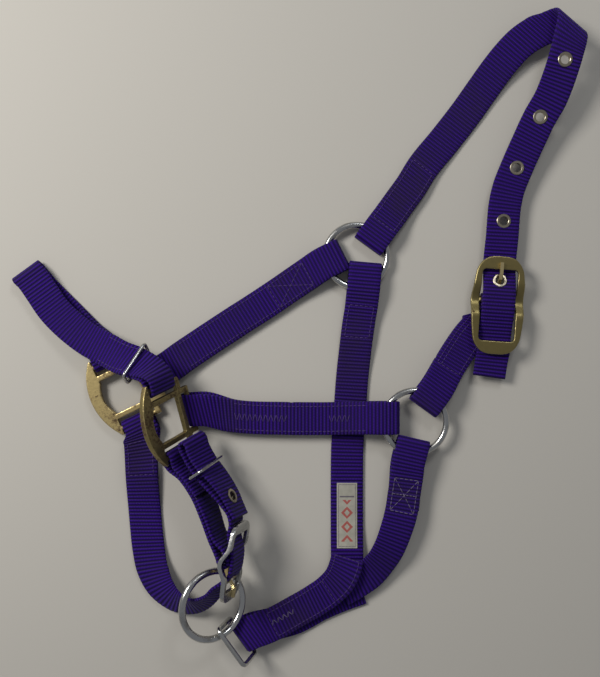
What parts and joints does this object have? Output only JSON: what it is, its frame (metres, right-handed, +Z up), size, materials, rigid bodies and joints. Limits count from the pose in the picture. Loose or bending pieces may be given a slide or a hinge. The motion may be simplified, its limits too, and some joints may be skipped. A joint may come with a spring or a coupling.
{
  "type": "horse halter",
  "caption": "Flat-webbing horse halter with a buckled crown and adjustable chin, wire rings, slotted nose castings, a woven label and wire keepers, lying flat.",
  "frame": {"origin": "under the middle of the halter as it lies, on the floor", "axes": "+Y from the chin to the poll as it lies, +X towards the crown buckle's side, +Z up"},
  "size_m": [0.433, 0.4895, 0.0513],
  "materials": {
    "webbing": "ribbed nylon webbing, indigo purple",
    "nickel": "dulled nickel plate",
    "brass": "cast brass, worn and mottled",
    "label": "woven label with a stitched border"
  },
  "bodies": {
    "webbing": {"crown_strap": "webbing", "crown_chape": "webbing", "off_cheek_strap": "webbing", "near_cheek_strap": "webbing", "noseband": "webbing", "off_throat_strap": "webbing", "near_throat_strap": "webbing", "connector_strap": "webbing", "chin_strap": "webbing", "chin_tail": "webbing", "chin_chape": "webbing", "off_nose_square": "brass", "near_nose_square": "brass", "crown_buckle_frame": "brass", "chin_buckle_frame": "nickel", "crown_eyelets": "nickel", "chin_eyelets": "nickel", "maker_label": "label"},
    "off_ring": {"off_cheek_ring": "nickel"},
    "near_ring": {"near_cheek_ring": "nickel"},
    "lead_ring": {"chin_ring": "nickel"},
    "loop": {"connector_loop": "nickel"},
    "crown_tongue": {"crown_buckle_tongue": "brass"},
    "chin_tongue": {"chin_buckle_tongue": "brass"},
    "lower_keeper": {"chin_keeper": "nickel"},
    "upper_keeper": {"nose_keeper": "nickel"}
  },
  "joints": [
    {"name": "off_ring_spin", "type": "hinge", "parent": "webbing", "child": "off_ring", "pos_m": [0.0465, 0.0599, 0.00546], "axis": [0, 0, 1], "continuous": true},
    {"name": "near_ring_spin", "type": "hinge", "parent": "webbing", "child": "near_ring", "pos_m": [0.0905, -0.0661, 0.01006], "axis": [0, 0, 1], "continuous": true},
    {"name": "lead_ring_spin", "type": "hinge", "parent": "webbing", "child": "lead_ring", "pos_m": [-0.0609, -0.20025, 0.02386], "axis": [0.5592, 0, 0.829], "continuous": true},
    {"name": "loop_swing", "type": "hinge", "parent": "webbing", "child": "loop", "pos_m": [-0.0399, -0.2286, 0.00696], "axis": [0.6142, -0.7773, 0.1361], "range_deg": [-18, 1]},
    {"name": "crown_tongue_hinge", "type": "hinge", "parent": "webbing", "child": "crown_tongue", "pos_m": [0.153, 0.0259, 0.00806], "axis": [0.9976, -0.0698, 0], "range_deg": [0, 2]},
    {"name": "chin_tongue_hinge", "type": "hinge", "parent": "webbing", "child": "chin_tongue", "pos_m": [-0.0485, -0.164, 0.03156], "axis": [-0.2714, 0.0479, 0.9613], "range_deg": [0, 8]},
    {"name": "lower_keeper_slide", "type": "slide", "parent": "webbing", "child": "lower_keeper", "axis": [-0.5578, 0.828, -0.0576], "range_m": [-0.002, 0.004]},
    {"name": "upper_keeper_slide", "type": "slide", "parent": "webbing", "child": "upper_keeper", "axis": [0.9027, -0.2669, 0.3375], "range_m": [-0.002, 0.002]}
  ]
}
